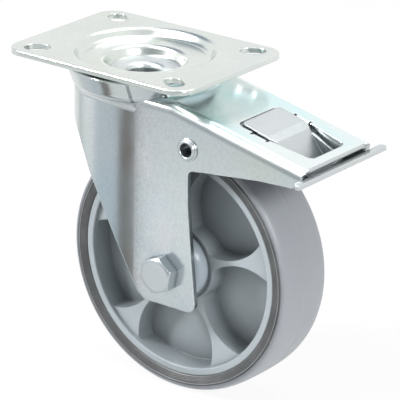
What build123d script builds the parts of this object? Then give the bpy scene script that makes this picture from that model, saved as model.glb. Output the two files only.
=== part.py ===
from build123d import *
from math import asin, atan2, cos, degrees, radians, sin, sqrt
import os

os.makedirs("parts", exist_ok=True)

# Driving dimensions in millimetres. The origin is the middle of the plate's top face, +Z is up
# and +X points to the trailing side, where the wheel and the brake pedal are.
sheet = 2.5
plate_length = 105.0
plate_width = 80.0
hole_spacing_x = 80.0
hole_spacing_y = 60.0
slot_width = 9.0
slot_length = 12.5
wheel_diameter = 125.0
total_height = 157.0
trail = 33.0
fork_width = 55.0
bolt_radius = 5.0
running_gap = 0.05
half_outer = fork_width / 2
half_inner = half_outer - sheet

# Heights in the swivel head
dish_depth = 4.2
pocket_depth = 9.8
plate_floor = -dish_depth - sheet
pocket_floor = -pocket_depth - sheet
rim_top = -4.9
crown_top = -11.4
crown_floor = crown_top - sheet
race_top = -17.2
race_floor = race_top - sheet

# Radii in the swivel head, worked out from the room between the fork's walls
race_radius = half_inner - 1.6
crown_hole = race_radius - 3.6
pocket_radius = race_radius - 6.4
pin_head = pocket_radius - 0.8
pin_flare = race_radius - 10.2
pin_shank = 10.2
pin_bore = 8.2
dish_bend = sheet + 0.3
bowl_radius = half_outer + 9.5
dish_edge = bowl_radius
bowl_bottom = crown_floor - sheet

# Ball rows
upper_ball_radius = 3.0
upper_row_radius = bowl_radius - 11.5
lower_ball_radius = 2.0
lower_row_radius = race_radius - 1.8
groove_gap = 0.1
upper_ball_count = 8
lower_ball_count = 10
upper_row_z = (plate_floor + crown_top) / 2
lower_row_z = (crown_floor + race_top) / 2

# Wheel
wheel_radius = wheel_diameter / 2
axle_x = trail
axle_z = -(total_height - wheel_radius)
tyre_half = 17.0
seat_radius = 54.2
seat_groove = 2.2
groove_half = 9.0
ring_half = 15.7
pocket_outer = seat_radius - 3.8
hub_radius = 17.5
hub_half = half_inner - 5.6
cap_half = half_inner - 4.2
spacer_start = half_inner - 3.6
cap_seat = 13.2
rib_face = 13.8
web_half = 3.5
rib_count = 5
rib_turn = 14.5
side_curve = 27.2
side_curve_centre = 40.9
side_curve_shift = 5.4
roller_pitch = 9.0
roller_radius = 1.45
roller_count = 10
roller_half = hub_half - 4.4
tube_radius = 7.5
hub_bore = 10.5

# Fork
roof_start = 36.0
roof_start_z = crown_top - 0.24
roof_end = 108.4
roof_end_z = axle_z + 67.3
roof_slope = (roof_end_z - roof_start_z) / (roof_end - roof_start)
side_start = 15.8
side_arc_radius = 150.0
side_arc_angle = 12.0
leg_bottom = axle_z - 16.1


def roof_z(x):
    return roof_end_z + roof_slope * (x - roof_end)


# Brake
lever_pivot = (46.4, axle_z + 63.3)
pedal_pivot = (78.5, roof_z(78.5) - 4.2)
pedal_sheet = 2.3
lever_limit = 6.0
pin_radius = 1.5
rivet_radius = 4.1
rivet_bore = 3.3
rivet_flange = 5.4
rivet_foot = 5.0
cheek_outer = half_inner - 1.0
cheek_inner = cheek_outer - sheet
relief_start = cheek_inner - 2.0


# Top plate: pressed sheet with a stepped round dish and four slots that point to the corners
with BuildPart() as top_plate:
    with BuildSketch(Plane.XY.offset(-sheet)):
        RectangleRounded(plate_length, plate_width, 9.5)
        Circle(dish_edge, mode=Mode.SUBTRACT)
    extrude(amount=sheet)
    with BuildSketch(Plane.XZ):
        with BuildLine():
            FilletPolyline(
                (dish_edge, 0),
                (dish_edge - 3.4, 0),
                (dish_edge - 6.4, -dish_depth),
                (pocket_radius + 2.6, -dish_depth),
                (pocket_radius, -pocket_depth),
                (pin_shank + running_gap, -pocket_depth),
                radius=dish_bend,
            )
            offset(amount=sheet, side=Side.LEFT)
        make_face()
    revolve(axis=Axis.Z)
    with BuildSketch(Plane.XZ):
        with Locations((upper_row_radius, upper_row_z)):
            Circle(upper_ball_radius + groove_gap)
    revolve(axis=Axis.Z, mode=Mode.SUBTRACT)
    corner_turn = degrees(atan2(hole_spacing_y, hole_spacing_x))
    with BuildSketch(Plane.XY):
        for side_x, side_y in ((1, 1), (1, -1), (-1, 1), (-1, -1)):
            with Locations((side_x * hole_spacing_x / 2, side_y * hole_spacing_y / 2)):
                SlotOverall(slot_length, slot_width, rotation=side_x * side_y * corner_turn)
    extrude(amount=-sheet, mode=Mode.SUBTRACT)
    top_edges = top_plate.faces().sort_by(Axis.Z)[-1].outer_wire().edges()
    fillet(top_edges, radius=0.6)

# King pin: hollow rivet through the dish, its wide head in the pocket and its lower end flared
flare_top = pocket_floor - sheet
with BuildPart() as king_pin:
    with BuildSketch(Plane.XZ):
        with BuildLine():
            Polyline(
                (pin_shank, -pocket_depth),
                (pin_head - 1.3, -pocket_depth),
                (pin_head, -pocket_depth + 0.5),
                (pin_head, -pocket_depth + 1.0),
                (pin_head - 0.4, -pocket_depth + 1.3),
                (pin_bore + 2.7, -pocket_depth + 0.5),
            )
            ThreePointArc(
                (pin_bore + 2.7, -pocket_depth + 0.5),
                (pin_bore + 0.8, -pocket_depth - 0.3),
                (pin_bore, -pocket_depth - 2.2),
            )
            Line((pin_bore, -pocket_depth - 2.2), (pin_bore, flare_top - 0.2))
            ThreePointArc(
                (pin_bore, flare_top - 0.2),
                (pin_bore + 0.5, flare_top - 1.6),
                (pin_bore + 1.8, flare_top - 2.3),
            )
            Polyline(
                (pin_bore + 1.8, flare_top - 2.3),
                (pin_flare - 0.2, flare_top - 2.3),
                (pin_flare, flare_top - 1.8),
                (pin_flare, flare_top),
                (pin_shank, flare_top),
                (pin_shank, -pocket_depth),
            )
        make_face()
    revolve(axis=Axis.Z)

# Lower race: hat-shaped ring that carries the lower balls
with BuildPart() as lower_race:
    with BuildSketch(Plane.XZ):
        with BuildLine():
            FilletPolyline(
                (pin_shank + running_gap, pocket_floor),
                (race_radius - 7.6, pocket_floor),
                (race_radius - 5.2, race_top),
                (race_radius, race_top),
                radius=dish_bend,
            )
            offset(amount=sheet, side=Side.RIGHT)
        make_face()
    revolve(axis=Axis.Z)
    with BuildSketch(Plane.XZ):
        with Locations((lower_row_radius, lower_row_z)):
            Circle(lower_ball_radius + groove_gap)
    revolve(axis=Axis.Z, mode=Mode.SUBTRACT)

# Lock ring: notched disc under the race, the lever's tooth rises into a notch
notch_count = 24
notch_width = 4.2
notch_root = race_radius - 3.4
lock_radius = race_radius
lock_bore = race_radius - 5.8
lock_thickness = 2.0
with BuildPart() as lock_ring:
    with BuildSketch(Plane.XY.offset(race_floor - lock_thickness)):
        Circle(lock_radius)
        Circle(lock_bore, mode=Mode.SUBTRACT)
        with PolarLocations((notch_root + lock_radius + 1) / 2, notch_count):
            Rectangle(lock_radius + 1 - notch_root, notch_width, mode=Mode.SUBTRACT)
    extrude(amount=lock_thickness)

# Ball rows: the upper one runs in a cage, the lower one is loose in its grooves
def ball_row(radius, row_radius, row_z, count):
    with BuildPart() as row:
        with PolarLocations(row_radius, count):
            with Locations((0, 0, row_z)):
                Sphere(radius)
    return row.part


upper_balls = ball_row(upper_ball_radius, upper_row_radius, upper_row_z, upper_ball_count)
lower_balls = ball_row(lower_ball_radius, lower_row_radius, lower_row_z, lower_ball_count)

cage_thickness = 1.4
with BuildPart() as ball_cage:
    with BuildSketch(Plane.XY.offset(upper_row_z - cage_thickness / 2)):
        Circle(upper_row_radius + upper_ball_radius + 1.1)
        Circle(upper_row_radius - upper_ball_radius - 1.1, mode=Mode.SUBTRACT)
        with PolarLocations(upper_row_radius, upper_ball_count):
            Circle(upper_ball_radius + running_gap, mode=Mode.SUBTRACT)
    extrude(amount=cage_thickness)


# Fork: one pressed sheet with the crown bowl, a rounded nose, two legs and the sloping roof
def fork_form(inset, top, bend):
    half = half_outer - inset
    arc_radius = side_arc_radius - inset
    turn = radians(side_arc_angle)
    bend_x = side_start - arc_radius * sin(turn)
    bend_y = half - arc_radius * (1 - cos(turn))
    nose_radius = bend_y / cos(turn)
    nose_x = bend_x + nose_radius * sin(turn)
    drop = inset * sqrt(1 + roof_slope**2)
    low = leg_bottom - 4
    end = roof_end + 6
    with BuildPart() as form:
        with BuildSketch(Plane.XZ):
            with BuildLine():
                Polyline(
                    (side_start, low),
                    (end, low),
                    (end, roof_z(end) - drop),
                    (roof_start, top),
                    (side_start, top),
                    close=True,
                )
            make_face()
        extrude(amount=half, both=True)
        long_edges = [
            edge
            for edge in form.edges().filter_by(GeomType.LINE)
            if edge.center().Z > roof_z(end) - drop - 1 and abs(edge.center().Y) > half - 0.1
            and abs(edge.tangent_at(0.5).X) > 0.9
        ]
        fillet(long_edges, radius=bend)
        with BuildSketch(Plane.XY.offset(low)):
            with BuildLine():
                Polyline((side_start + 1, half), (side_start, half))
                ThreePointArc(
                    (side_start, half),
                    (side_start - arc_radius * sin(turn / 2), half - arc_radius * (1 - cos(turn / 2))),
                    (bend_x, bend_y),
                )
                ThreePointArc((bend_x, bend_y), (nose_x - nose_radius, 0), (bend_x, -bend_y))
                ThreePointArc(
                    (bend_x, -bend_y),
                    (side_start - arc_radius * sin(turn / 2), arc_radius * (1 - cos(turn / 2)) - half),
                    (side_start, -half),
                )
                Polyline((side_start, -half), (side_start + 1, -half), (side_start + 1, half))
            make_face()
        extrude(amount=top - low)
    return form.part


window_front = 64.8
window_rear = 104.6
window_half = 15.4
window_rear_half = 12.9
lug_front = pedal_pivot[0] - 3.6
lug_rear = pedal_pivot[0] + 3.6
lug_thickness = 2.0

# Concave foot where the bowl runs out into the roof
foot_angle = 72.0
foot_start = bowl_radius - 1.4
foot_end = 41.0
foot_top = crown_top + 2.4
foot_low = bowl_bottom - 1.6
with BuildPart() as crown_foot:
    with BuildSketch(Plane.XZ):
        with BuildLine():
            Polyline((30.0, foot_low), (30.0, foot_top), (foot_start, foot_top))
            RadiusArc((foot_start, foot_top), (foot_end, roof_z(foot_end) + 0.05), -5.0)
            Polyline((foot_end, roof_z(foot_end) + 0.05), (foot_end, foot_low), (30.0, foot_low))
        make_face()
    revolve(axis=Axis.Z, revolution_arc=foot_angle)

leg_front = (axle_x - 14.6, axle_z - 12.9)
leg_rear = (axle_x + 19.2, leg_bottom)
leg_waist = (axle_x + 13.7, axle_z + 36.5)
leg_corner = (axle_x + 13.5, axle_z + 52.9)
skirt_rear = (roof_end - 3.6, roof_end_z - 8.9)
with BuildPart() as fork:
    add(fork_form(0, roof_start_z, 5.0))
    with BuildSketch(Plane.XZ):
        with BuildLine():
            Polyline((0, crown_top), (0, rim_top), (bowl_radius - 0.6, rim_top), (bowl_radius, rim_top - 0.7))
            Polyline(
                (bowl_radius, rim_top - 0.7),
                (bowl_radius - 1.9, crown_top + 0.8),
                (bowl_radius - 2.5, crown_top - 0.8),
            )
            ThreePointArc(
                (bowl_radius - 2.5, crown_top - 0.8),
                (bowl_radius - 4.2, bowl_bottom + 1.3),
                (bowl_radius - 8.0, bowl_bottom),
            )
            Polyline((bowl_radius - 8.0, bowl_bottom), (0, bowl_bottom), (0, crown_top))
        make_face()
    revolve(axis=Axis.Z)
    add(crown_foot.part.rotate(Axis.Z, -foot_angle / 2))
    add(fork_form(sheet, crown_floor, 2.5), mode=Mode.SUBTRACT)
    with BuildSketch(Plane.XZ):
        with BuildLine():
            Polyline(
                (0, 0),
                (bowl_radius - 2.8, 0),
                (bowl_radius - 2.8, rim_top),
                (bowl_radius - 5.1, crown_top + 1.2),
                (bowl_radius - 6.1, crown_top),
                (0, crown_top),
                (0, 0),
            )
        make_face()
    revolve(axis=Axis.Z, mode=Mode.SUBTRACT)
    with BuildSketch(Plane.XY.offset(crown_floor - 1)):
        Circle(crown_hole)
    extrude(amount=sheet + 2, mode=Mode.SUBTRACT)
    with BuildSketch(Plane.XZ):
        with Locations((upper_row_radius, upper_row_z)):
            Circle(upper_ball_radius + groove_gap)
        with Locations((lower_row_radius, lower_row_z)):
            Circle(lower_ball_radius + groove_gap)
    revolve(axis=Axis.Z, mode=Mode.SUBTRACT)
    with BuildSketch(Plane.XY.offset(roof_end_z - 6)):
        with BuildLine():
            FilletPolyline(
                (window_front, window_half),
                (window_front, -window_half),
                (lug_rear + 2, -window_half),
                (window_rear, -window_rear_half),
                (window_rear, window_rear_half),
                (lug_rear + 2, window_half),
                radius=3.0,
                close=True,
            )
        make_face()
    extrude(amount=30, mode=Mode.SUBTRACT)
    for near_face in (window_half, -window_half - lug_thickness):
        with BuildSketch(Plane.XZ.offset(near_face)):
            with BuildLine():
                Polyline(
                    (lug_front, pedal_pivot[1]),
                    (lug_front, roof_z(lug_front) - 1.0),
                    (lug_rear, roof_z(lug_rear) - 1.0),
                    (lug_rear, pedal_pivot[1]),
                    close=True,
                )
            make_face()
            with Locations(pedal_pivot):
                Circle((lug_rear - lug_front) / 2)
                Circle(pin_radius + 0.02, mode=Mode.SUBTRACT)
        extrude(amount=lug_thickness)
    for x in (lug_front - 0.6, lug_rear + 0.6):
        with BuildSketch(Plane.XY.offset(roof_end_z)):
            with Locations((x, window_half + 0.8), (x, -window_half - 0.8)):
                Rectangle(1.2, 3.2)
        extrude(amount=roof_start_z + 5 - roof_end_z, mode=Mode.SUBTRACT)
    with BuildSketch(Plane.XZ) as side_view:
        with BuildLine():
            Polyline((-40.0, 2.0), (-40.0, -27.6), (-35.0, -28.8))
            Spline(
                (-35.0, -28.8),
                (-26.2, -35.0),
                (-21.2, -40.5),
                (-16.1, -49.3),
                (-11.2, -58.9),
            )
            Polyline(
                (-11.2, -58.9),
                leg_front,
                (axle_x - 10.5, leg_bottom),
                leg_rear,
                (axle_x + 16.2, axle_z + 10.3),
                leg_waist,
                leg_corner,
                (axle_x + 24.3, axle_z + 54.4),
                (axle_x + 53.4, axle_z + 57.6),
                skirt_rear,
                (roof_end - 1.4, roof_end_z - 6.6),
                (roof_end + 2.8, roof_end_z + 2.2),
                (roof_end + 2.8, 2.0),
                (-40.0, 2.0),
            )
        make_face()
        for (x, z), radius in (
            (leg_front, 6.0),
            (leg_rear, 4.5),
            (leg_waist, 40.0),
            (leg_corner, 3.0),
            (skirt_rear, 2.5),
        ):
            fillet(side_view.vertices().sort_by_distance((x, z, 0))[0], radius=radius)
    extrude(amount=50, both=True, mode=Mode.INTERSECT)
    with BuildSketch(Plane.XZ):
        with BuildLine():
            Polyline(
                (roof_end, roof_z(roof_end) + 3),
                (roof_end + 1.2, roof_z(roof_end) - 3.3),
                (roof_end + 8, roof_z(roof_end) - 3.3),
                (roof_end + 8, roof_z(roof_end) + 3),
                close=True,
            )
        make_face()
    extrude(amount=half_inner - 3, both=True, mode=Mode.SUBTRACT)
    with BuildSketch(Plane.XZ):
        with Locations((axle_x, axle_z)):
            Circle(bolt_radius + 0.25)
        with Locations(lever_pivot):
            Circle(rivet_radius + 0.02)
    extrude(amount=half_outer + 1, both=True, mode=Mode.SUBTRACT)
    lug_edges = [
        edge
        for edge in fork.edges().filter_by(GeomType.LINE)
        if abs(abs(edge.center().Y) - window_half) < 0.05
        and abs(edge.center().X - pedal_pivot[0]) < 0.5
        and edge.center().Z > roof_z(pedal_pivot[0]) - 0.2
    ]
    fillet(lug_edges, radius=1.6)

# Brake pivot rivets: one hollow rivet through each leg
with BuildPart() as brake_pivot_rivets:
    for side in (1, -1):
        plane = Plane(origin=(lever_pivot[0], 0, lever_pivot[1]), x_dir=(0, -side, 0), z_dir=(side, 0, 0))
        with BuildSketch(plane):
            with BuildLine():
                Polyline(
                    (half_outer, rivet_radius),
                    (half_outer, rivet_flange),
                    (half_outer + 0.5, rivet_flange),
                    (half_outer + 0.8, rivet_flange - 0.3),
                    (half_outer + 0.8, rivet_flange - 0.8),
                )
                ThreePointArc(
                    (half_outer + 0.8, rivet_flange - 0.8),
                    (half_outer + 1.6, rivet_flange - 0.9),
                    (half_outer + 1.9, rivet_flange - 1.5),
                )
                ThreePointArc(
                    (half_outer + 1.9, rivet_flange - 1.5),
                    (half_outer + 1.8, rivet_bore + 0.2),
                    (half_outer + 1.3, rivet_bore),
                )
                Polyline(
                    (half_outer + 1.3, rivet_bore),
                    (cheek_inner - 1.6, rivet_bore),
                    (cheek_inner - 1.6, rivet_foot),
                    (cheek_inner - 0.1, rivet_foot),
                    (cheek_inner - 0.1, rivet_radius),
                    (half_outer, rivet_radius),
                )
            make_face()
        revolve(axis=Axis((lever_pivot[0], 0, lever_pivot[1]), (0, 1, 0)))

# Brake lever: U-shaped channel over the tyre, a tooth in front and a pushing arm behind
lever_turn = radians(lever_limit)
rel_x = axle_x - lever_pivot[0]
rel_z = axle_z - lever_pivot[1]
shoe_centre = (
    lever_pivot[0] + rel_x * cos(lever_turn) - rel_z * sin(lever_turn),
    lever_pivot[1] + rel_x * sin(lever_turn) + rel_z * cos(lever_turn),
)
shoe_radius = wheel_radius + 0.6
web_under = shoe_radius + 4.0
web_top = web_under + sheet


def on_arc(radius, x):
    return shoe_centre[1] + sqrt(radius**2 - (x - shoe_centre[0]) ** 2)


tooth_front = notch_root + 0.3
tooth_rear = race_radius - 0.4
tooth_top = race_floor - lock_thickness - 0.9
web_front = 34.0
web_level_x = 39.7
web_rear = 69.0
web_level = on_arc(web_top, web_level_x)
cheek_low = lever_pivot[1] - 6.6
arm_z = lever_pivot[1] - 6.2
with BuildPart() as brake_lever:
    with BuildSketch(Plane.XZ):
        with BuildLine():
            Line((web_front, web_level), (web_level_x, web_level))
            ThreePointArc(
                (web_level_x, web_level),
                (55.0, on_arc(web_top, 55.0)),
                (web_rear, on_arc(web_top, web_rear)),
            )
            Line((web_rear, on_arc(web_top, web_rear)), (web_rear - 1, on_arc(web_under, web_rear - 1)))
            ThreePointArc(
                (web_rear - 1, on_arc(web_under, web_rear - 1)),
                (55.0, on_arc(web_under, 55.0)),
                (web_level_x, on_arc(web_under, web_level_x)),
            )
            Polyline(
                (web_level_x, on_arc(web_under, web_level_x)),
                (web_front, on_arc(web_under, web_level_x)),
                (web_front, web_level),
            )
        make_face()
    extrude(amount=cheek_outer, both=True)
    for near_face in (cheek_inner, -cheek_outer):
        with BuildSketch(Plane.XZ.offset(near_face)) as cheek:
            with BuildLine():
                Line((web_front, web_level), (web_level_x, web_level))
                ThreePointArc(
                    (web_level_x, web_level),
                    (55.0, on_arc(web_top, 55.0)),
                    (web_rear, on_arc(web_top, web_rear)),
                )
                Polyline(
                    (web_rear, on_arc(web_top, web_rear)),
                    (67.5, on_arc(web_under, 67.5) - 2.5),
                    (lever_pivot[0] + 6.6, cheek_low),
                    (lever_pivot[0] - 5.4, cheek_low),
                    (34.6, web_level - 5.0),
                    (web_front, web_level),
                )
            make_face()
            fillet(cheek.vertices().filter_by(lambda v: v.Y < cheek_low + 0.5), radius=4.5)
        extrude(amount=cheek_outer - cheek_inner)
    for radius, relief_end in ((rivet_radius + running_gap, cheek_outer), (rivet_foot + 0.5, cheek_inner)):
        for side in (1, -1):
            with BuildSketch(Plane.XZ.offset(side * relief_start)):
                with Locations(lever_pivot):
                    Circle(radius)
            extrude(amount=side * (relief_end - relief_start), mode=Mode.SUBTRACT)
    with BuildSketch(Plane.XZ):
        with BuildLine():
            FilletPolyline(
                (66.5, on_arc(web_top, 66.5)),
                (79.5, arm_z),
                (93.0, arm_z),
                radius=6.0,
            )
            offset(amount=sheet, side=Side.RIGHT)
        make_face()
    extrude(amount=9.0, both=True)
    with BuildSketch(Plane.XZ):
        with Locations((tooth_front, web_level)):
            Rectangle(web_front + 1 - tooth_front, sheet, align=(Align.MIN, Align.MAX))
    extrude(amount=5.0, both=True)
    with BuildSketch(Plane.XZ):
        with BuildLine():
            Polyline(
                (tooth_front, web_level - 1),
                (tooth_front, tooth_top),
                (tooth_rear, tooth_top),
                (tooth_rear + 1.5, web_level - 1),
                close=True,
            )
        make_face()
    extrude(amount=1.6, both=True)

# Rivets of the lever: two for the shoe and one for the leaf spring
rivet_places = [(degrees(asin((x - shoe_centre[0]) / web_top)), 2.6) for x in (56.0, 62.5)]
rivet_places.append((degrees(asin((43.0 - shoe_centre[0]) / web_top)), sheet))
leaf_thickness = 0.8


def radial_plane(turn, height):
    lean = radians(turn)
    direction = (sin(lean), 0, cos(lean))
    start = (shoe_centre[0] + height * sin(lean), 0, shoe_centre[1] + height * cos(lean))
    return Plane(origin=start, x_dir=(0, 1, 0), z_dir=direction)


with BuildPart() as lever_rivets:
    for index, (turn, depth) in enumerate(rivet_places):
        lift = leaf_thickness if index == 2 else 0
        low = web_under if index == 2 else web_under - depth
        with BuildSketch(radial_plane(turn, low)):
            Circle(2.0)
        extrude(amount=web_top + lift + 0.5 - low)
        with BuildSketch(radial_plane(turn, web_top + lift + 0.05)):
            Circle(3.0)
        extrude(amount=1.2, taper=20)

shoe_rear = 65.4
with BuildPart() as brake_shoe:
    with BuildSketch(Plane.XZ):
        with BuildLine():
            ThreePointArc(
                (52.5, on_arc(web_under, 52.5)),
                (60.0, on_arc(web_under, 60.0)),
                (shoe_rear, on_arc(web_under, shoe_rear)),
            )
            Line((shoe_rear, on_arc(web_under, shoe_rear)), (shoe_rear - 1, on_arc(shoe_radius, shoe_rear - 1)))
            ThreePointArc(
                (shoe_rear - 1, on_arc(shoe_radius, shoe_rear - 1)),
                (60.0, on_arc(shoe_radius, 60.0)),
                (51.5, on_arc(shoe_radius, 51.5)),
            )
            Line((51.5, on_arc(shoe_radius, 51.5)), (52.5, on_arc(web_under, 52.5)))
        make_face()
    extrude(amount=13.0, both=True)
    add(lever_rivets.part, mode=Mode.SUBTRACT)

with BuildPart() as lever_spring:
    with BuildSketch(Plane.XZ):
        with BuildLine():
            FilletPolyline(
                (47.0, web_level),
                (38.0, web_level),
                (31.0, -19.0),
                (27.5, -17.5),
                radius=2.0,
            )
            offset(amount=leaf_thickness, side=Side.RIGHT)
        make_face()
    extrude(amount=4.5, both=True)
    add(lever_rivets.part, mode=Mode.SUBTRACT)

with BuildPart(mode=Mode.PRIVATE) as riveted_lever:
    add(brake_lever.part)
    add(lever_rivets.part, mode=Mode.SUBTRACT)
    add(lever_spring.part, mode=Mode.SUBTRACT)

# Brake pedal: rocking sheet with a release pad in the window and a wide lip behind the roof
pad_front = 66.3
lip_top = roof_end_z - 3.8
lip_half = half_outer + 7.0
riser_top = (85.0, roof_z(85.0) - 0.7)
riser_foot = (94.2, roof_end_z - 6.6)
floor_rear = (98.5, roof_end_z - 6.8)
riser_half = 12.9
floor_half = half_inner - 2.5
flange_outer = 13.7
flange_sheet = 2.0
pad_half = window_half - 0.8
with BuildPart() as brake_pedal:
    with BuildSketch(Plane.XZ):
        with BuildLine():
            FilletPolyline(
                (pad_front, roof_z(pad_front) + 1.0),
                (80.7, roof_z(80.7) + 0.4),
                riser_top,
                riser_foot,
                floor_rear,
                (106.0, lip_top),
                (112.6, lip_top),
                radius=2.6,
            )
            offset(amount=pedal_sheet, side=Side.RIGHT)
        make_face()
    extrude(amount=lip_half, both=True)
    with BuildSketch(Plane.XY.offset(-total_height)) as plan:
        with BuildLine():
            Polyline(
                (pad_front + 0.3, 0),
                (pad_front + 0.3, pad_half),
                (82.5, pad_half),
                (85.0, riser_half),
                (97.0, riser_half),
                (101.0, floor_half),
                (109.6, floor_half),
                (109.6, lip_half),
                (120.0, lip_half),
                (120.0, 0),
            )
            mirror(about=Plane.XZ)
        make_face()
        fillet(plan.vertices().group_by(Axis.X)[0], radius=2.0)
        fillet(plan.vertices().filter_by(lambda v: abs(v.Y) > lip_half - 0.5), radius=1.5)
    extrude(amount=total_height, mode=Mode.INTERSECT)
    for near_face in (flange_outer - flange_sheet, -flange_outer):
        with BuildSketch(Plane.XZ.offset(near_face)):
            with BuildLine():
                Polyline(
                    (riser_top[0] - 1.0, riser_top[1] - 0.7),
                    (floor_rear[0] + 3.0, floor_rear[1] + 2.6),
                    (floor_rear[0], floor_rear[1] - 1.2),
                    (riser_foot[0] - 0.4, riser_foot[1] - 1.0),
                    close=True,
                )
            make_face()
        extrude(amount=flange_sheet)
    for near_face in (pad_half - 2.2, -pad_half + 0.2):
        with BuildSketch(Plane.XZ.offset(near_face)):
            with BuildLine():
                Polyline(
                    (pedal_pivot[0] - 3.3, pedal_pivot[1]),
                    (pedal_pivot[0] - 3.3, pedal_pivot[1] + 4.1),
                    (pedal_pivot[0] + 2.2, pedal_pivot[1] + 3.0),
                    (pedal_pivot[0] + 3.3, pedal_pivot[1]),
                    close=True,
                )
            make_face()
            with Locations(pedal_pivot):
                Circle(3.3)
                Circle(pin_radius + running_gap, mode=Mode.SUBTRACT)
        extrude(amount=2.0)

with BuildPart() as pedal_pin:
    with BuildSketch(Plane.XZ):
        with Locations(pedal_pivot):
            Circle(pin_radius)
    extrude(amount=window_half + lug_thickness + 0.6, both=True)

# Wheel centre: moulded, five waisted ribs on each side of a middle web
axle_line = Axis((axle_x, 0, axle_z), (0, 1, 0))
half_section = Plane(origin=(axle_x, 0, axle_z), x_dir=(0, 1, 0), z_dir=(1, 0, 0))
wheel_face = Plane(origin=(axle_x, 0, axle_z), x_dir=(1, 0, 0), z_dir=(0, -1, 0))
with BuildSketch() as pocket_outline:
    with Locations((side_curve_centre, side_curve_shift)):
        Circle(side_curve)
    with Locations((side_curve_centre, -side_curve_shift)):
        Circle(side_curve, mode=Mode.INTERSECT)
    Circle(pocket_outer, mode=Mode.INTERSECT)
    Circle(hub_radius + 1.0, mode=Mode.SUBTRACT)
    fillet(pocket_outline.vertices().filter_by(lambda v: v.X < hub_radius + 4), radius=3.0)
    fillet(pocket_outline.vertices().filter_by(lambda v: v.X > side_curve_centre), radius=2.2)

with BuildPart() as wheel_rim:
    with BuildSketch(half_section):
        with BuildLine():
            Polyline(
                (0, hub_bore),
                (hub_half, hub_bore),
                (hub_half, 12.4),
                (hub_half - 0.6, 13.0),
                (cap_seat, 13.4),
                (cap_seat, hub_radius - 0.6),
                (rib_face, hub_radius),
                (rib_face, pocket_outer + 0.2),
                (ring_half - 0.4, pocket_outer + 0.3),
                (ring_half, pocket_outer + 0.7),
                (ring_half, seat_radius - 0.3),
                (ring_half - 0.3, seat_radius),
                (groove_half, seat_radius),
                (groove_half, seat_radius - seat_groove),
                (0, seat_radius - seat_groove),
            )
            mirror(about=Plane.YZ)
        make_face()
    revolve(axis=axle_line)
    for side in (1, -1):
        with BuildSketch(wheel_face.offset(side * rib_face)):
            with PolarLocations(0, rib_count, start_angle=rib_turn + 180 / rib_count):
                add(pocket_outline.sketch)
        extrude(amount=-side * (rib_face - web_half), mode=Mode.SUBTRACT)

# Tyre: soft tread moulded into the wheel centre's groove
tread = wheel_radius - seat_radius
with BuildPart() as tyre:
    with BuildSketch(half_section):
        with BuildLine():
            Line((0, seat_radius - seat_groove), (groove_half, seat_radius - seat_groove))
            Polyline(
                (groove_half, seat_radius - seat_groove),
                (groove_half, seat_radius),
                (ring_half, seat_radius),
            )
            ThreePointArc(
                (ring_half, seat_radius),
                (ring_half + 1.0, seat_radius + 0.22 * tread),
                (tyre_half, seat_radius + 0.43 * tread),
            )
            ThreePointArc(
                (tyre_half, seat_radius + 0.43 * tread),
                (tyre_half - 1.4, wheel_radius - 0.19 * tread),
                (tyre_half - 5.0, wheel_radius - 0.05 * tread),
            )
            ThreePointArc(
                (tyre_half - 5.0, wheel_radius - 0.05 * tread),
                (tyre_half - 11.0, wheel_radius - 0.01 * tread),
                (0, wheel_radius),
            )
            mirror(about=Plane.YZ)
        make_face()
    revolve(axis=axle_line)

# Hub caps: thin domed covers over both ends of the hub
cap_radius = 15.7
cap_bore = 7.9
dome_length = cap_half - cap_seat - 1.1
with BuildPart() as hub_caps:
    for side in (1, -1):
        with BuildSketch(half_section):
            with BuildLine():
                Line((side * cap_seat, cap_radius), (side * (cap_seat + 1.1), cap_radius))
                ThreePointArc(
                    (side * (cap_seat + 1.1), cap_radius),
                    (side * (cap_seat + 1.1 + 0.63 * dome_length), cap_radius - 1.8),
                    (side * cap_half, cap_radius - 5.3),
                )
                Polyline(
                    (side * cap_half, cap_radius - 5.3),
                    (side * cap_half, cap_bore),
                    (side * (hub_half + 0.1), cap_bore),
                    (side * (hub_half + 0.1), 12.4),
                )
                Line((side * (hub_half + 0.1), 12.4), (side * (hub_half - 0.5), 13.1))
                Polyline(
                    (side * (hub_half - 0.5), 13.1),
                    (side * cap_seat, 13.5),
                    (side * cap_seat, cap_radius),
                )
            make_face()
        revolve(axis=axle_line)

# Axle: tube between the legs, rollers in a cage, spacers, and the bolt with its nut
with BuildPart() as axle_tube:
    with BuildSketch(Plane.XZ):
        with Locations((axle_x, axle_z)):
            Circle(tube_radius)
            Circle(bolt_radius + 0.1, mode=Mode.SUBTRACT)
    extrude(amount=half_inner, both=True)

with BuildPart() as axle_spacers:
    for start in (spacer_start, -half_inner):
        with BuildSketch(Plane.XZ.offset(start)):
            with Locations((axle_x, axle_z)):
                Circle(tube_radius + 2.5)
                Circle(tube_radius + 0.02, mode=Mode.SUBTRACT)
        extrude(amount=half_inner - spacer_start)

with BuildPart() as rollers:
    with BuildSketch(wheel_face.offset(-roller_half)):
        with PolarLocations(roller_pitch, roller_count):
            Circle(roller_radius)
    extrude(amount=2 * roller_half)

with BuildPart() as roller_cage:
    with BuildSketch(wheel_face.offset(-roller_half - 1.5)):
        Circle(roller_pitch + 0.9)
        Circle(roller_pitch - 0.9, mode=Mode.SUBTRACT)
    extrude(amount=2 * roller_half + 3)
    with BuildSketch(wheel_face.offset(-roller_half - running_gap)):
        with PolarLocations(roller_pitch, roller_count):
            Circle(roller_radius + running_gap)
    extrude(amount=2 * (roller_half + running_gap), mode=Mode.SUBTRACT)

hex_flats = 16.0
head_height = 6.2
nut_height = 8.0
washer_thickness = 1.6


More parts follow.
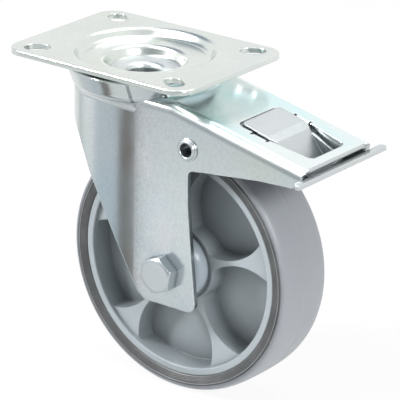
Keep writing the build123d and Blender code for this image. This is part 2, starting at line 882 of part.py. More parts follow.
def hexagon(start, height, turn):
    with BuildPart() as block:
        with BuildSketch(wheel_face.offset(start)):
            RegularPolygon(hex_flats / sqrt(3), 6, rotation=turn)
        extrude(amount=height)
        with BuildSketch(half_section):
            with BuildLine():
                Polyline(
                    (-start, 0),
                    (-start, 9.6),
                    (-start - height + 1.2, 9.6),
                    (-start - height, 7.4),
                    (-start - height, 0),
                    close=True,
                )
            make_face()
        revolve(axis=axle_line, mode=Mode.INTERSECT)
    return block.part


with BuildPart() as axle_bolt:
    add(hexagon(half_outer, head_height, 21.0))
    with BuildSketch(wheel_face.offset(half_outer)):
        Circle(bolt_radius)
    extrude(amount=-(fork_width + washer_thickness + nut_height + 2.0))
    chamfer(axle_bolt.faces().sort_by(Axis.Y)[-1].edges(), length=0.8)

with BuildPart() as axle_washer:
    with BuildSketch(wheel_face.offset(-half_outer - washer_thickness)):
        Circle(10.0)
        Circle(bolt_radius + 0.25, mode=Mode.SUBTRACT)
    extrude(amount=washer_thickness)

with BuildPart() as axle_nut:
    add(hexagon(-half_outer - washer_thickness, -nut_height, 8.0))
    with BuildSketch(wheel_face.offset(-half_outer - washer_thickness)):
        Circle(bolt_radius + 0.02)
    extrude(amount=-nut_height, mode=Mode.SUBTRACT)

for name, part in (
    ("top_plate", top_plate.part),
    ("king_pin", king_pin.part),
    ("lower_race", lower_race.part),
    ("lock_ring", lock_ring.part),
    ("upper_balls", upper_balls),
    ("lower_balls", lower_balls),
    ("ball_cage", ball_cage.part),
    ("fork", fork.part),
    ("brake_pivot_rivets", brake_pivot_rivets.part),
    ("brake_lever", riveted_lever.part),
    ("brake_shoe", brake_shoe.part),
    ("lever_rivets", lever_rivets.part),
    ("lever_spring", lever_spring.part),
    ("brake_pedal", brake_pedal.part),
    ("pedal_pin", pedal_pin.part),
    ("wheel_rim", wheel_rim.part),
    ("tyre", tyre.part),
    ("hub_caps", hub_caps.part),
    ("axle_tube", axle_tube.part),
    ("axle_spacers", axle_spacers.part),
    ("rollers", rollers.part),
    ("roller_cage", roller_cage.part),
    ("axle_bolt", axle_bolt.part),
    ("axle_washer", axle_washer.part),
    ("axle_nut", axle_nut.part),
):
    part.label = name
    export_step(part, f"parts/{name}.step")
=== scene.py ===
import bpy
import bmesh
from math import cos, pi, radians, sin
from mathutils import Matrix, Vector


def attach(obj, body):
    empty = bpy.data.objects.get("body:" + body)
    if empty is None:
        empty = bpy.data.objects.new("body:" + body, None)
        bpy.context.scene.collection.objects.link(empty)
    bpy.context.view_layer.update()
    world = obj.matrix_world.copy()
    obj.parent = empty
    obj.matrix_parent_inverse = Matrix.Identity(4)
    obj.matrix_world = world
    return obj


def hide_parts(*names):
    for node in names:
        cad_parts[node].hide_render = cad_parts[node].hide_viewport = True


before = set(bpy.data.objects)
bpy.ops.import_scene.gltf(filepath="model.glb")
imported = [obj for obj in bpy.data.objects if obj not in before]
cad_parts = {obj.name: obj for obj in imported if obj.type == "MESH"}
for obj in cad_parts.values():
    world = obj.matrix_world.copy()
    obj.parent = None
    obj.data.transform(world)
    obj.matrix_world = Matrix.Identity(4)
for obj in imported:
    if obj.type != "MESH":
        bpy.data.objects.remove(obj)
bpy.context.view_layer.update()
print("frame loaded:", len(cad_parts), "nodes")


def addNode(tree, kind, **values):
    made = tree.nodes.new(kind)
    for name, value in values.items():
        setattr(made, name, value)
    return made


def wire(tree, source, target):
    tree.links.new(source, target)


def feed(tree, value, socket):
    # a plain value is set on the socket, and another node's output is wired to it
    if isinstance(value, (int, float, tuple)):
        socket.default_value = value
    else:
        wire(tree, value, socket)


def mathNode(tree, operation, *values, clamp=False):
    made = addNode(tree, "ShaderNodeMath", operation=operation, use_clamp=clamp)
    for socket, value in zip(made.inputs, values):
        feed(tree, value, socket)
    return made.outputs[0]


def timesNode(tree, first, second):
    return mathNode(tree, "MULTIPLY", first, second)


def vectorNode(tree, operation, *values):
    made = addNode(tree, "ShaderNodeVectorMath", operation=operation)
    for socket, value in zip(made.inputs, values):
        feed(tree, value, socket)
    gives = "Value" if operation in ("DOT_PRODUCT", "LENGTH") else "Vector"
    return made.outputs[gives]


def splitNode(tree, vector):
    made = addNode(tree, "ShaderNodeSeparateXYZ")
    wire(tree, vector, made.inputs[0])
    return made.outputs


def rampNode(tree, source, low, high, start=0.0, end=1.0, kind="LINEAR"):
    made = addNode(tree, "ShaderNodeMapRange", clamp=True, interpolation_type=kind)
    for label, value in (("From Min", low), ("From Max", high), ("To Min", start), ("To Max", end)):
        feed(tree, value, made.inputs[label])
    wire(tree, source, made.inputs["Value"])
    return made.outputs["Result"]


def mixColour(tree, factor, first, second):
    made = addNode(tree, "ShaderNodeMix", data_type="RGBA")
    for socket, value in ((made.inputs[0], factor), (made.inputs[6], first), (made.inputs[7], second)):
        feed(tree, value, socket)
    return made.outputs[2]


def noiseNode(tree, vector, scale, **values):
    made = addNode(tree, "ShaderNodeTexNoise")
    wire(tree, vector, made.inputs["Vector"])
    feed(tree, scale, made.inputs["Scale"])
    for label, value in values.items():
        feed(tree, value, made.inputs[label])
    return made.outputs


def bumpNode(tree, height, strength, distance, normal=None):
    made = addNode(tree, "ShaderNodeBump")
    made.inputs["Strength"].default_value = strength
    made.inputs["Distance"].default_value = distance
    wire(tree, height, made.inputs["Height"])
    if normal is not None:
        wire(tree, normal, made.inputs["Normal"])
    return made.outputs["Normal"]


def newGroup(name, inputs, outputs):
    group = bpy.data.node_groups.new(name, "ShaderNodeTree")
    for label, kind, default in inputs:
        socket = group.interface.new_socket(name=label, in_out="INPUT", socket_type=kind)
        if default is not None:
            socket.default_value = default
    for label, kind in outputs:
        group.interface.new_socket(name=label, in_out="OUTPUT", socket_type=kind)
    given = addNode(group, "NodeGroupInput").outputs
    gives = addNode(group, "NodeGroupOutput").inputs
    return group, given, gives


grainEffect = {
    "broadShare": 0.045,  # the broad noise's scale as a share of the fine one's
    "broadDetail": 4.0,
    "broadRoughness": 0.6,
}


# grain: fine noise stretched along one axis, and broad noise for cloudy change
def buildGrain():
    look = grainEffect
    group, given, gives = newGroup(
        "sheetGrain",
        [
            ("Vector", "NodeSocketVector", None),
            ("Scale", "NodeSocketFloat", 900.0),
            ("Stretch", "NodeSocketVector", (1.0, 1.0, 1.0)),
            ("Detail", "NodeSocketFloat", 3.0),
        ],
        [("Fine", "NodeSocketFloat"), ("Broad", "NodeSocketFloat")],
    )
    stretched = vectorNode(group, "MULTIPLY", given["Vector"], given["Stretch"])
    fine = noiseNode(group, stretched, given["Scale"], Detail=given["Detail"])
    broad = noiseNode(
        group,
        given["Vector"],
        timesNode(group, given["Scale"], look["broadShare"]),
        Detail=look["broadDetail"],
        Roughness=look["broadRoughness"],
    )
    wire(group, fine["Fac"], gives["Fine"])
    wire(group, broad["Fac"], gives["Broad"])
    return group


filmEffect = {
    "detail": 5.0,
    "roughness": 0.55,
    "patch": (0.38, 0.66),
    "tintShare": 0.55,  # the tint's noise is slower than the patches'
    "tint": (0.4, 0.62),
}


# dull film: cloudy patches of the passivated zinc layer
def buildFilm():
    look = filmEffect
    group, given, gives = newGroup(
        "zincFilm",
        [
            ("Vector", "NodeSocketVector", None),
            ("Scale", "NodeSocketFloat", 30.0),
            ("Bluish", "NodeSocketColor", (0.6, 0.7, 0.75, 1.0)),
            ("Greenish", "NodeSocketColor", (0.7, 0.78, 0.74, 1.0)),
            ("Plain", "NodeSocketColor", (0.75, 0.76, 0.76, 1.0)),
            ("Strength", "NodeSocketFloat", 0.6),
        ],
        [("Color", "NodeSocketColor")],
    )
    cloud = noiseNode(
        group, given["Vector"], given["Scale"], Detail=look["detail"], Roughness=look["roughness"]
    )
    patch = rampNode(group, cloud["Fac"], *look["patch"])
    other = noiseNode(group, given["Vector"], timesNode(group, given["Scale"], look["tintShare"]))
    share = rampNode(group, other["Fac"], *look["tint"])
    tinted = mixColour(group, share, given["Bluish"], given["Greenish"])
    amount = timesNode(group, patch, given["Strength"])
    wire(group, mixColour(group, amount, given["Plain"], tinted), gives["Color"])
    return group


wearEffect = {
    "samples": 6,
    "turn": (0.01, 0.12),  # how far the rounded normal leans from the flat one
    "breaks": (0.3, 0.6),
}


# worn edges: bright where the rounded edge turns, from the bevel normal
def buildEdgeWear():
    look = wearEffect
    group, given, gives = newGroup(
        "edgeWear",
        [
            ("Radius", "NodeSocketFloat", 0.0008),
            ("Break", "NodeSocketFloat", 350.0),
            ("Vector", "NodeSocketVector", None),
        ],
        [("Edge", "NodeSocketFloat"), ("Normal", "NodeSocketVector")],
    )
    bevel = addNode(group, "ShaderNodeBevel", samples=look["samples"])
    wire(group, given["Radius"], bevel.inputs["Radius"])
    rounded = bevel.outputs["Normal"]
    flat = addNode(group, "ShaderNodeNewGeometry").outputs["Normal"]
    same = vectorNode(group, "DOT_PRODUCT", rounded, flat)
    turned = mathNode(group, "SUBTRACT", 1.0, same, clamp=True)
    noise = noiseNode(group, given["Vector"], given["Break"])
    sharp = rampNode(group, turned, *look["turn"])
    wire(group, timesNode(group, sharp, rampNode(group, noise["Fac"], *look["breaks"])), gives["Edge"])
    wire(group, rounded, gives["Normal"])
    return group


creviceEffect = {"samples": 6, "shut": 0.12}


# painted shade in crevices: dark where surfaces stand close together
def buildCrevice():
    look = creviceEffect
    group, given, gives = newGroup(
        "crevice",
        [("Reach", "NodeSocketFloat", 0.005), ("Open", "NodeSocketFloat", 0.8)],
        [("Mask", "NodeSocketFloat")],
    )
    close = addNode(group, "ShaderNodeAmbientOcclusion", samples=look["samples"])
    wire(group, given["Reach"], close.inputs["Distance"])
    mask = rampNode(group, close.outputs["AO"], look["shut"], given["Open"], start=1.0, end=0.0)
    wire(group, mask, gives["Mask"])
    return group


marksEffect = {
    "warpScale": 60.0,
    "warp": 0.02,
    "line": (0.02, 0.0),
    "gateScale": 45.0,
    "gateDetail": 3.0,
    "gate": (0.58, 0.68),
}


# handling marks: scattered short scratches and specks
def buildMarks():
    look = marksEffect
    group, given, gives = newGroup(
        "handlingMarks",
        [
            ("Vector", "NodeSocketVector", None),
            ("Scale", "NodeSocketFloat", 120.0),
            ("Amount", "NodeSocketFloat", 0.5),
        ],
        [("Mask", "NodeSocketFloat")],
    )
    warp = noiseNode(group, given["Vector"], look["warpScale"])
    bent = vectorNode(group, "MULTIPLY_ADD", warp["Color"], (look["warp"],) * 3, given["Vector"])
    cells = addNode(group, "ShaderNodeTexVoronoi", feature="DISTANCE_TO_EDGE")
    wire(group, bent, cells.inputs["Vector"])
    wire(group, given["Scale"], cells.inputs["Scale"])
    line = rampNode(group, cells.outputs["Distance"], *look["line"])
    gate = noiseNode(group, given["Vector"], look["gateScale"], Detail=look["gateDetail"])
    both = timesNode(group, line, rampNode(group, gate["Fac"], *look["gate"]))
    wire(group, timesNode(group, both, given["Amount"]), gives["Mask"])
    return group


grainGroup = buildGrain()
filmGroup = buildFilm()
edgeGroup = buildEdgeWear()
marksGroup = buildMarks()
creviceGroup = buildCrevice()
print("effects ready")


def placeGroup(tree, group, place=None, **values):
    made = addNode(tree, "ShaderNodeGroup", node_tree=group)
    for label, value in values.items():
        made.inputs[label].default_value = value
    if place is not None:
        wire(tree, place, made.inputs["Vector"])
    return made.outputs


def startMaterial(name, roughness, metallic=0.0):
    material = bpy.data.materials.new(name)
    material.use_nodes = True
    tree = material.node_tree
    shader = tree.nodes["Principled BSDF"]
    shader.inputs["Roughness"].default_value = roughness
    shader.inputs["Metallic"].default_value = metallic
    place = addNode(tree, "ShaderNodeTexCoord").outputs["Object"]
    return material, tree, shader, place


zincLook = {
    "plain": (0.66, 0.69, 0.71, 1.0),
    "bluish": (0.56, 0.67, 0.72, 1.0),
    "greenish": (0.64, 0.70, 0.63, 1.0),
    "creviceShadeColour": (0.11, 0.12, 0.13, 1.0),
    "dull": (0.42, 0.46, 0.48, 1.0),
    "worn": (0.86, 0.88, 0.88, 1.0),
    "roughness": 0.30,
    "film": 0.55,
    "filmScale": 26.0,
    "grain": 0.22,
    "grainScale": 1250.0,
    "grainDetail": 3.0,
    "grainDepth": 0.00012,
    "broadShare": 1.5,
    "stretch": (1.0, 1.0, 1.0),
    "speckle": 0.2,
    "speckleSpan": (0.3, 0.7),
    "edgeRadius": 0.0009,
    "edgeBreak": 420.0,
    "edgeShine": 0.7,
    "markScale": 95.0,
    "markAmount": 0.35,
    "reach": 0.0055,  # how deep a crevice has to be to take painted shade
    "openAt": 0.62,
    "openGain": 15.0,  # a deeper reach counts as open later
    "creviceShadeAmount": 0.9,
    "cloudyRough": 0.22,
    "fineRough": 0.12,
    "teal": 0.0,
    "roll": False,
}
tealLook = {
    "colour": (0.70, 0.92, 0.94, 1.0),
    "pale": (0.88, 0.95, 0.95, 1.0),
    "upward": (0.45, 0.9),
    "scale": 34.0,
    "patch": (0.42, 0.68),
}
rollLook = {
    "height": (-0.0204, -0.0164),
    "front": (0.0165, 0.0150),
    "left": (-0.0340, -0.0250),
    "depth": -0.0012,
}


def upwardTint(tree, place, shade, amount):
    # the blue film lies thicker on the faces that look up; the same faces are also painted paler, as
    # painted light from above
    look = tealLook
    facing = splitNode(tree, addNode(tree, "ShaderNodeNewGeometry").outputs["Normal"])
    cloud = noiseNode(tree, place, look["scale"])
    above = rampNode(tree, facing["Z"], *look["upward"])
    patchy = rampNode(tree, cloud["Fac"], *look["patch"])
    both = timesNode(tree, timesNode(tree, above, patchy), amount)
    # painted light: faces that look up are painted paler
    topLitPaler = mixColour(tree, timesNode(tree, above, amount), shade, look["pale"])
    return mixColour(tree, both, topLitPaler, look["colour"])


def shoulderRoll(tree, place):
    # the sheet rolls over just under the crown: height falls towards the crown's edge
    look = rollLook
    spot = splitNode(tree, place)
    slope = rampNode(tree, spot["Z"], *look["height"], kind="SMOOTHSTEP")
    front = rampNode(tree, spot["X"], *look["front"])
    left = rampNode(tree, spot["X"], *look["left"])
    held = timesNode(tree, slope, timesNode(tree, front, left))
    return timesNode(tree, held, look["depth"])


def zincColour(tree, place, look, drawn, worn):
    patches = placeGroup(
        tree,
        filmGroup,
        place,
        Scale=look["filmScale"],
        Bluish=look["bluish"],
        Greenish=look["greenish"],
        Plain=look["plain"],
        Strength=look["film"],
    )
    marks = placeGroup(tree, marksGroup, place, Scale=look["markScale"], Amount=look["markAmount"])
    speckle = timesNode(tree, rampNode(tree, drawn["Fine"], *look["speckleSpan"]), look["speckle"])
    shade = mixColour(tree, speckle, patches["Color"], look["dull"])
    if look["teal"]:
        shade = upwardTint(tree, place, shade, look["teal"])
    shade = mixColour(tree, timesNode(tree, worn["Edge"], look["edgeShine"]), shade, look["worn"])
    shade = mixColour(tree, marks["Mask"], shade, look["worn"])
    # painted shade: the zinc is darkened towards the crevice shade colour in crevices and deep corners
    wide = look["openAt"] + look["reach"] * look["openGain"]
    creviceShadeMask = placeGroup(tree, creviceGroup, Reach=look["reach"], Open=wide)
    return mixColour(tree, timesNode(tree, creviceShadeMask["Mask"], look["creviceShadeAmount"]), shade, look["creviceShadeColour"])


def zincRoughness(tree, look, drawn, worn):
    base = look["roughness"] - look["cloudyRough"] / 2
    cloudy = mathNode(tree, "MULTIPLY_ADD", drawn["Broad"], look["cloudyRough"], base)
    rough = mathNode(tree, "ADD", cloudy, timesNode(tree, drawn["Fine"], look["fineRough"]))
    smoother = timesNode(tree, worn["Edge"], look["fineRough"])
    return mathNode(tree, "SUBTRACT", rough, smoother, clamp=True)


def makeZinc(name, changes):
    look = {**zincLook, **changes}
    material, tree, shader, place = startMaterial("zinc" + name, look["roughness"], 1.0)
    drawn = placeGroup(
        tree,
        grainGroup,
        place,
        Scale=look["grainScale"],
        Stretch=look["stretch"],
        Detail=look["grainDetail"],
    )
    worn = placeGroup(tree, edgeGroup, place, Radius=look["edgeRadius"], Break=look["edgeBreak"])
    wire(tree, zincColour(tree, place, look, drawn, worn), shader.inputs["Base Color"])
    wire(tree, zincRoughness(tree, look, drawn, worn), shader.inputs["Roughness"])
    height = mathNode(tree, "ADD", drawn["Fine"], timesNode(tree, drawn["Broad"], look["broadShare"]))
    normal = bumpNode(tree, height, look["grain"], look["grainDepth"], worn["Normal"])
    if look["roll"]:
        normal = bumpNode(tree, shoulderRoll(tree, place), 1.0, 1.0, normal)
    wire(tree, normal, shader.inputs["Normal"])
    return material


zincKinds = {
    "Fork": {
        "stretch": (1.0, 1.0, 0.7),
        "roughness": 0.14,
        "film": 0.7,
        "grain": 0.09,
        "teal": 0.92,
        "roll": True,
    },
    "Plate": {
        "stretch": (0.5, 1.0, 1.0),
        "roughness": 0.16,
        "plain": (0.80, 0.83, 0.79, 1.0),
        "film": 0.4,
        "grain": 0.08,
    },
    "Small": {"roughness": 0.26, "film": 0.35, "grain": 0.3},
    "Pedal": {
        "stretch": (1.0, 0.5, 1.0),
        "roughness": 0.24,
        "film": 0.45,
        "grain": 0.12,
        "reach": 0.016,
    },
    "Inside": {"roughness": 0.42, "plain": (0.5, 0.52, 0.53, 1.0)},
}
zinc = {name: makeZinc(name, changes) for name, changes in zincKinds.items()}


hardSteelLook = {
    "bright": (0.62, 0.63, 0.65, 1.0),
    "grey": (0.4, 0.4, 0.42, 1.0),
    "greyAmount": 0.3,
    "grainScale": 1500.0,
    "grainDetail": 2.0,
    "roughness": 0.5,
    "fineRough": 0.15,
}


def makeHardSteel():
    look = hardSteelLook
    material, tree, shader, place = startMaterial("hardSteel", look["roughness"], 1.0)
    drawn = placeGroup(tree, grainGroup, place, Scale=look["grainScale"], Detail=look["grainDetail"])
    clouded = timesNode(tree, drawn["Broad"], look["greyAmount"])
    wire(tree, mixColour(tree, clouded, look["bright"], look["grey"]), shader.inputs["Base Color"])
    rough = mathNode(tree, "MULTIPLY_ADD", drawn["Fine"], look["fineRough"], look["roughness"])
    wire(tree, rough, shader.inputs["Roughness"])
    return material


hardSteel = makeHardSteel()

axleAt = (0.033, 0.0, -0.0945)
tyreLook = {
    "tread": (0.33, 0.35, 0.38, 1.0),
    "treadFrom": (0.0585, 0.0609),  # radii over which the side turns into the tread
    "side": (0.09, 0.094, 0.095, 1.0),
    "hollow": (0.065, 0.068, 0.07, 1.0),
    "hollowFrom": (0.0576, 0.0584),
    "dust": (0.40, 0.42, 0.44, 1.0),
    "dustPatch": (0.45, 0.75),
    "dustAmount": 0.2,
    "dark": (0.07, 0.073, 0.075, 1.0),
    "grooveShadeAmount": 0.55,
    "grooveDepth": (0.25, -0.75),
    "grooveEnd": (0.0585, 0.0583),
    "partingAt": 0.05812,
    "partingHalf": 0.00012,
    "partingAmount": 0.75,
    "ribStart": 0.0547,
    "ribEnd": 0.0575,
    "ribFade": 0.0004,
    "ribPitch": 0.00062,
    "grainScale": 1300.0,
    "grainDetail": 4.0,
    "grainShare": 0.35,
    "bump": 0.55,
    "bumpDepth": 0.00025,
    "roughness": 0.30,
    "broadRough": 0.14,
}


def ringHeight(tree, place):
    # concentric fine ribs between two radii around the axle
    look = tyreLook
    moved = vectorNode(tree, "SUBTRACT", place, axleAt)
    radius = vectorNode(tree, "LENGTH", vectorNode(tree, "MULTIPLY", moved, (1.0, 0.0, 1.0)))
    wave = mathNode(tree, "SINE", timesNode(tree, radius, 2 * pi / look["ribPitch"]))
    rising = rampNode(tree, radius, look["ribStart"], look["ribStart"] + look["ribFade"])
    falling = rampNode(tree, radius, look["ribEnd"] + look["ribFade"], look["ribEnd"])
    return timesNode(tree, wave, timesNode(tree, rising, falling)), radius


def makeTyreRubber():
    look = tyreLook
    material, tree, shader, place = startMaterial("greyTread", look["roughness"])
    ribs, radius = ringHeight(tree, place)
    drawn = placeGroup(tree, grainGroup, place, Scale=look["grainScale"], Detail=look["grainDetail"])
    # painted shade: the tyre is darker in the crease between the bead and the shoulder
    hollow = mixColour(tree, rampNode(tree, radius, *look["hollowFrom"]), look["side"], look["hollow"])
    shade = mixColour(tree, rampNode(tree, radius, *look["treadFrom"]), hollow, look["tread"])
    parting = mathNode(tree, "COMPARE", radius, look["partingAt"], look["partingHalf"])
    shade = mixColour(tree, timesNode(tree, parting, look["partingAmount"]), shade, look["dust"])
    dusty = timesNode(tree, rampNode(tree, drawn["Broad"], *look["dustPatch"]), look["dustAmount"])
    shade = mixColour(tree, dusty, shade, look["dust"])
    # painted shade: the grooves between the fine side ribs are darkened
    inner = rampNode(tree, radius, *look["grooveEnd"])
    grooves = timesNode(tree, rampNode(tree, ribs, *look["grooveDepth"]), inner)
    shade = mixColour(tree, timesNode(tree, grooves, look["grooveShadeAmount"]), shade, look["dark"])
    wire(tree, shade, shader.inputs["Base Color"])
    rough = mathNode(tree, "MULTIPLY_ADD", drawn["Broad"], look["broadRough"], look["roughness"])
    wire(tree, rough, shader.inputs["Roughness"])
    height = mathNode(tree, "ADD", ribs, timesNode(tree, drawn["Fine"], look["grainShare"]))
    wire(tree, bumpNode(tree, height, look["bump"], look["bumpDepth"]), shader.inputs["Normal"])
    return material


mouldedLook = {
    "grain": 0.25,
    "grainScale": 1600.0,
    "grainDetail": 3.0,
    "grainDepth": 0.00008,
    "flowScale": 28.0,
    "flowDetail": 3.0,
    "flowBend": 1.2,
    "flow": (0.35, 0.7),
    "flowAmount": 0.03,
    "reach": 0.022,
    "open": 0.95,
    "shadowAmount": 0.8,
    "edgeRadius": 0.0008,
    "edgeBreak": 300.0,
    "edgePale": 1.25,
    "edgeAmount": 0.14,
    "broadRough": 0.05,
    "smoother": 0.02,
    "coatRoughness": 0.2,
    "coat": 0.0,
}
mouldedKinds = {
    "greyCentre": {
        "colour": (0.36, 0.405, 0.43, 1.0),
        "shadow": (0.035, 0.042, 0.048, 1.0),
        "roughness": 0.28,
        "coat": 0.2,
    },
    "paleCap": {
        "colour": (0.45, 0.52, 0.57, 1.0),
        "shadow": (0.22, 0.26, 0.29, 1.0),
        "roughness": 0.3,
        "coat": 0.15,
    },
    "darkCage": {
        "colour": (0.05, 0.05, 0.055, 1.0),
        "shadow": (0.03, 0.03, 0.033, 1.0),
        "roughness": 0.5,
    },
}


def makeMoulded(name, changes):
    look = {**mouldedLook, **changes}
    material, tree, shader, place = startMaterial(name, look["roughness"])
    drawn = placeGroup(tree, grainGroup, place, Scale=look["grainScale"], Detail=look["grainDetail"])
    flow = noiseNode(
        tree, place, look["flowScale"], Detail=look["flowDetail"], Distortion=look["flowBend"]
    )
    flowing = timesNode(tree, rampNode(tree, flow["Fac"], *look["flow"]), look["flowAmount"])
    shade = mixColour(tree, flowing, look["colour"], look["shadow"])
    deep = placeGroup(tree, creviceGroup, Reach=look["reach"], Open=look["open"])
    shade = mixColour(tree, timesNode(tree, deep["Mask"], look["shadowAmount"]), shade, look["shadow"])
    worn = placeGroup(tree, edgeGroup, place, Radius=look["edgeRadius"], Break=look["edgeBreak"])
    pale = tuple(min(1.0, part * look["edgePale"]) for part in look["colour"][:3]) + (1.0,)
    shade = mixColour(tree, timesNode(tree, worn["Edge"], look["edgeAmount"]), shade, pale)
    wire(tree, shade, shader.inputs["Base Color"])
    smoothest = look["roughness"] - look["smoother"]
    rough = mathNode(tree, "MULTIPLY_ADD", drawn["Broad"], look["broadRough"], smoothest)
    wire(tree, rough, shader.inputs["Roughness"])
    shader.inputs["Coat Weight"].default_value = look["coat"]
    shader.inputs["Coat Roughness"].default_value = look["coatRoughness"]
    normal = bumpNode(tree, drawn["Fine"], look["grain"], look["grainDepth"], worn["Normal"])
    wire(tree, normal, shader.inputs["Normal"])
    return material


greyTread = makeTyreRubber()
moulded = {name: makeMoulded(name, changes) for name, changes in mouldedKinds.items()}

finishes = (
    (zinc["Plate"], ["top_plate"]),
    (zinc["Fork"], ["fork"]),
    (zinc["Pedal"], ["brake_pedal", "brake_lever"]),
    (zinc["Inside"], ["lower_race", "lock_ring", "axle_tube", "brake_shoe"]),
    (zinc["Small"], ["king_pin", "brake_pivot_rivets", "pedal_pin", "lever_rivets"]),
    (zinc["Small"], ["axle_bolt", "axle_washer", "axle_nut", "axle_spacers"]),
    (hardSteel, ["upper_balls", "lower_balls", "rollers", "lever_spring"]),
    (moulded["darkCage"], ["ball_cage", "roller_cage"]),
    (moulded["greyCentre"], ["wheel_rim"]),
    (moulded["paleCap"], ["hub_caps"]),
    (greyTread, ["tyre"]),
)
for material, names in finishes:
    for name in names:
        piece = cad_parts[name]
        piece.data.materials.clear()
        piece.data.materials.append(material)
print("materials on", sum(len(names) for _, names in finishes), "nodes")


def objectFrom(name, shape, material):
    mesh = bpy.data.meshes.new(name)
    shape.to_mesh(mesh)
    shape.free()
    mesh.materials.append(material)
    piece = bpy.data.objects.new(name, mesh)
    bpy.context.scene.collection.objects.link(piece)
    return piece


# half of the tyre's section: how far from the middle, and how far out from the axle
tyrePiece = {
    "steps": 192,
    "ribs": 5,
    "ribPoints": 4,
    "ribHeight": 0.00020,
    "ribSpread": 0.7,
    "merge": 1e-6,
    "seat": [(0.0090, 0.0520), (0.0090, 0.0542), (0.0157, 0.0542), (0.01585, 0.0546)],
    "bead": [
        (0.01650, 0.05775), (0.01682, 0.05790), (0.01695, 0.05812), (0.01682, 0.05834),
        (0.01635, 0.05852),
    ],
    "shoulder": [
        (0.01620, 0.05885), (0.01648, 0.05930), (0.01652, 0.05985), (0.01628, 0.06045),
        (0.01570, 0.06098), (0.01475, 0.06148), (0.01345, 0.06186), (0.01180, 0.06210),
        (0.00980, 0.06226), (0.00740, 0.06238), (0.00480, 0.06246), (0.00240, 0.06249),
        (0.00075, 0.0625), (0.00045, 0.06238),
    ],
}


def ribbedSide(start, end):
    look = tyrePiece
    count = look["ribs"] * look["ribPoints"]
    points = []
    for index in range(1, count):
        along = index / count
        lift = look["ribHeight"] * (1 - cos(2 * pi * along * look["ribs"])) / 2
        across = start[0] + (end[0] - start[0]) * along ** look["ribSpread"] + lift
        points.append((across, start[1] + (end[1] - start[1]) * along))
    return points


def makeTyre():
    look = tyrePiece
    half = look["seat"] + ribbedSide(look["seat"][-1], look["bead"][0]) + look["bead"] + look["shoulder"]
    profile = half + [(-across, out) for across, out in reversed(half)]
    shape = bmesh.new()
    corners = [shape.verts.new((axleAt[0], across, axleAt[2] + out)) for across, out in profile]
    edges = [shape.edges.new(pair) for pair in zip(corners, corners[1:] + corners[:1])]
    bmesh.ops.spin(
        shape,
        geom=corners + edges,
        cent=axleAt,
        axis=(0.0, 1.0, 0.0),
        angle=2 * pi,
        steps=look["steps"],
        use_merge=True,
    )
    bmesh.ops.remove_doubles(shape, verts=shape.verts, dist=look["merge"])
    bmesh.ops.recalc_face_normals(shape, faces=shape.faces)
    for face in shape.faces:
        face.smooth = True
    piece = objectFrom("mouldedTyre", shape, greyTread)
    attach(piece, "wheel")
    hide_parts("tyre")


makeTyre()
print("tyre made")


def seenMask(tree, path):
    # rays that show the backdrop: straight from the camera, or by way of metal or glass
    either = mathNode(tree, "MAXIMUM", path["Is Camera Ray"], path["Is Glossy Ray"])
    return mathNode(tree, "MAXIMUM", either, path["Is Transmission Ray"])


def mixShaders(tree, factor, first, second):
    blend = addNode(tree, "ShaderNodeMixShader")
    for socket, source in zip(blend.inputs, (factor, first, second)):
        wire(tree, source, socket)
    return blend.outputs[0]


floorLook = {
    "size": 6.0,
    "below": -0.157,
    "colour": (0.92, 0.92, 0.92, 1.0),
    "roughness": 0.6,
    "white": (1.0, 1.0, 1.0, 1.0),
    "lift": 0.92,
    "front": (0.56, 0.60, 0.62, 1.0),  # painted shade: the floor greyer in front, in reflections only
    "frontFrom": (-0.22, -0.42),
    "near": (0.66, 0.70, 0.71, 1.0),  # the shaded strip beside the wheel, in reflections only
    "nearFrom": (-0.19, -0.07),
    "nearEnd": (0.03, -0.04),
}


def makeFloor():
    look = floorLook
    shape = bmesh.new()
    bmesh.ops.create_grid(shape, x_segments=2, y_segments=2, size=look["size"])
    bmesh.ops.translate(shape, verts=shape.verts, vec=(0.0, 0.0, look["below"]))
    material, tree, shader, place = startMaterial("paleFloor", look["roughness"])
    shader.inputs["Base Color"].default_value = look["colour"]
    glow = addNode(tree, "ShaderNodeEmission")
    spot = splitNode(tree, place)
    path = addNode(tree, "ShaderNodeLightPath").outputs
    far = timesNode(tree, rampNode(tree, spot["Y"], *look["frontFrom"]), path["Is Glossy Ray"])
    strip = rampNode(tree, spot["Y"], *look["nearFrom"])
    strip = timesNode(tree, strip, rampNode(tree, spot["Y"], *look["nearEnd"]))
    near = timesNode(tree, strip, path["Is Glossy Ray"])
    tone = mixColour(tree, far, look["white"], look["front"])
    wire(tree, mixColour(tree, near, tone, look["near"]), glow.inputs["Color"])
    lifted = timesNode(tree, seenMask(tree, path), look["lift"])
    blend = mixShaders(tree, lifted, shader.outputs[0], glow.outputs[0])
    wire(tree, blend, tree.nodes["Material Output"].inputs["Surface"])
    objectFrom("studioFloor", shape, material)


makeFloor()

# dark and grey cards beside the nose, seen only in reflections; they glow with a set colour instead of
# being lit, a painted reflection of the nose's dark and grey bands
cards = {
    "darkCard": {
        "from": (-0.0122, -0.0636),
        "to": (-0.0258, -0.0592),
        "top": -0.031,
        "colour": (0.23, 0.215, 0.20, 1.0),
    },
    "greyCard": {
        "from": (-0.0258, -0.0592),
        "to": (-0.046, -0.048),
        "top": -0.031,
        "colour": (0.64, 0.70, 0.74, 1.0),
    },
}


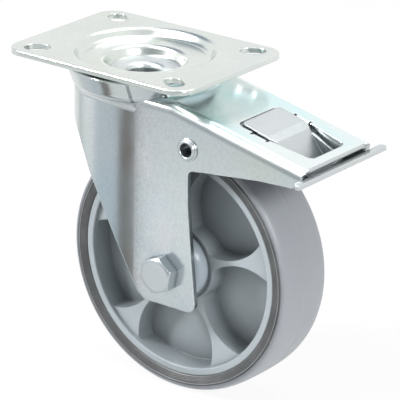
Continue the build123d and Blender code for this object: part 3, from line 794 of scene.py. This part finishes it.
def makeCards():
    for name, look in cards.items():
        shape = bmesh.new()
        low = [shape.verts.new((*look[end], floorLook["below"])) for end in ("from", "to")]
        raised = bmesh.ops.extrude_edge_only(shape, edges=[shape.edges.new(low)])["geom"]
        upper = [part for part in raised if isinstance(part, bmesh.types.BMVert)]
        bmesh.ops.translate(shape, verts=upper, vec=(0.0, 0.0, look["top"] - floorLook["below"]))
        material = bpy.data.materials.new(name + "ReflectionGlow")
        material.use_nodes = True
        tree = material.node_tree
        tree.nodes.remove(tree.nodes["Principled BSDF"])
        glow = addNode(tree, "ShaderNodeEmission")
        glow.inputs["Color"].default_value = look["colour"]
        wire(tree, glow.outputs[0], tree.nodes["Material Output"].inputs["Surface"])
        card = objectFrom(name, shape, material)
        card.visible_camera = False
        card.visible_diffuse = False
        card.visible_shadow = False


makeCards()
print("floor and cards made")

worldLook = {
    "light": 0.27,
    "backdrop": (1.0, 1.0, 1.0, 1.0),
    "shade": (0.30, 0.33, 0.35, 1.0),
    "shadeTowards": (0.35, -0.9, -0.25),
    "shadeSpan": (0.15, 0.75),
    "corner": (0.30, 0.35, 0.42, 1.0),
    "cornerTowards": (-0.642, 0.022, 0.766),
    "cornerSpan": (0.86, 0.965),
}


def towards(tree, direction, aim, span):
    return rampNode(tree, vectorNode(tree, "DOT_PRODUCT", direction, aim), *span)


def makeWorld():
    look = worldLook
    world = bpy.data.worlds.new("softStudio")
    bpy.context.scene.world = world
    world.use_nodes = True
    tree = world.node_tree
    tree.nodes.clear()
    out = addNode(tree, "ShaderNodeOutputWorld")
    light = addNode(tree, "ShaderNodeBackground")
    light.inputs["Strength"].default_value = look["light"]
    seen = addNode(tree, "ShaderNodeBackground")
    path = addNode(tree, "ShaderNodeLightPath").outputs
    direction = addNode(tree, "ShaderNodeTexCoord").outputs["Generated"]
    # greyer walls on the side away from the backdrop, and one greyer corner overhead
    dim = towards(tree, direction, look["shadeTowards"], look["shadeSpan"])
    room = mixColour(tree, dim, look["backdrop"], look["shade"])
    corner = towards(tree, direction, look["cornerTowards"], look["cornerSpan"])
    room = mixColour(tree, corner, room, look["corner"])
    shown = mixColour(tree, path["Is Camera Ray"], room, look["backdrop"])
    wire(tree, shown, seen.inputs["Color"])
    blend = mixShaders(tree, seenMask(tree, path), light.outputs[0], seen.outputs[0])
    wire(tree, blend, out.inputs["Surface"])


makeWorld()

lampTarget = (0.03, 0.0, -0.07)
lamps = {
    "keyLamp": {"at": (-1.0, -1.0, 0.95), "size": 0.36, "power": 24.0},
    "bendLamp": {"at": (-0.36, -0.82, 1.38), "size": 1.2, "power": 9.0},
    "sideLamp": {"at": (1.45, -0.5, 0.75), "size": 0.5, "power": 14.0},
    "topLamp": {"at": (0.2, 0.6, 1.6), "size": 1.4, "power": 10.0},
}


def makeLamps():
    for name, look in lamps.items():
        data = bpy.data.lights.new(name, "AREA")
        data.shape = "DISK"
        data.size = look["size"]
        data.energy = look["power"]
        lamp = bpy.data.objects.new(name, data)
        lamp.location = look["at"]
        aim = Vector(lampTarget) - Vector(look["at"])
        lamp.rotation_euler = aim.to_track_quat("-Z", "Y").to_euler()
        bpy.context.scene.collection.objects.link(lamp)


makeLamps()

cameraLook = {
    "azimuth": 36.73,
    "elevation": 20.83,
    "roll": 1.07,
    "distance": 1.38312,
    "target": (0.03331, 0.0, -0.06677),
    "lens": 267.65,
    "sensor": 36.0,
}


def makeCamera():
    look = cameraLook
    turn, lift, roll = (radians(look[key]) for key in ("azimuth", "elevation", "roll"))
    back = Vector((sin(turn) * cos(lift), -cos(turn) * cos(lift), sin(lift)))
    right = Vector((cos(turn), sin(turn), 0.0))
    up = back.cross(right)
    rolledRight = right * cos(roll) + up * sin(roll)
    rolledUp = up * cos(roll) - right * sin(roll)
    data = bpy.data.cameras.new("photoCamera")
    data.sensor_width = look["sensor"]
    data.lens = look["lens"]
    camera = bpy.data.objects.new("photoCamera", data)
    matrix = Matrix((rolledRight, rolledUp, back)).transposed().to_4x4()
    matrix.translation = Vector(look["target"]) + back * look["distance"]
    camera.matrix_world = matrix
    bpy.context.scene.collection.objects.link(camera)
    bpy.context.scene.camera = camera


makeCamera()
bpy.context.scene.view_settings.view_transform = "Standard"
print("studio ready")
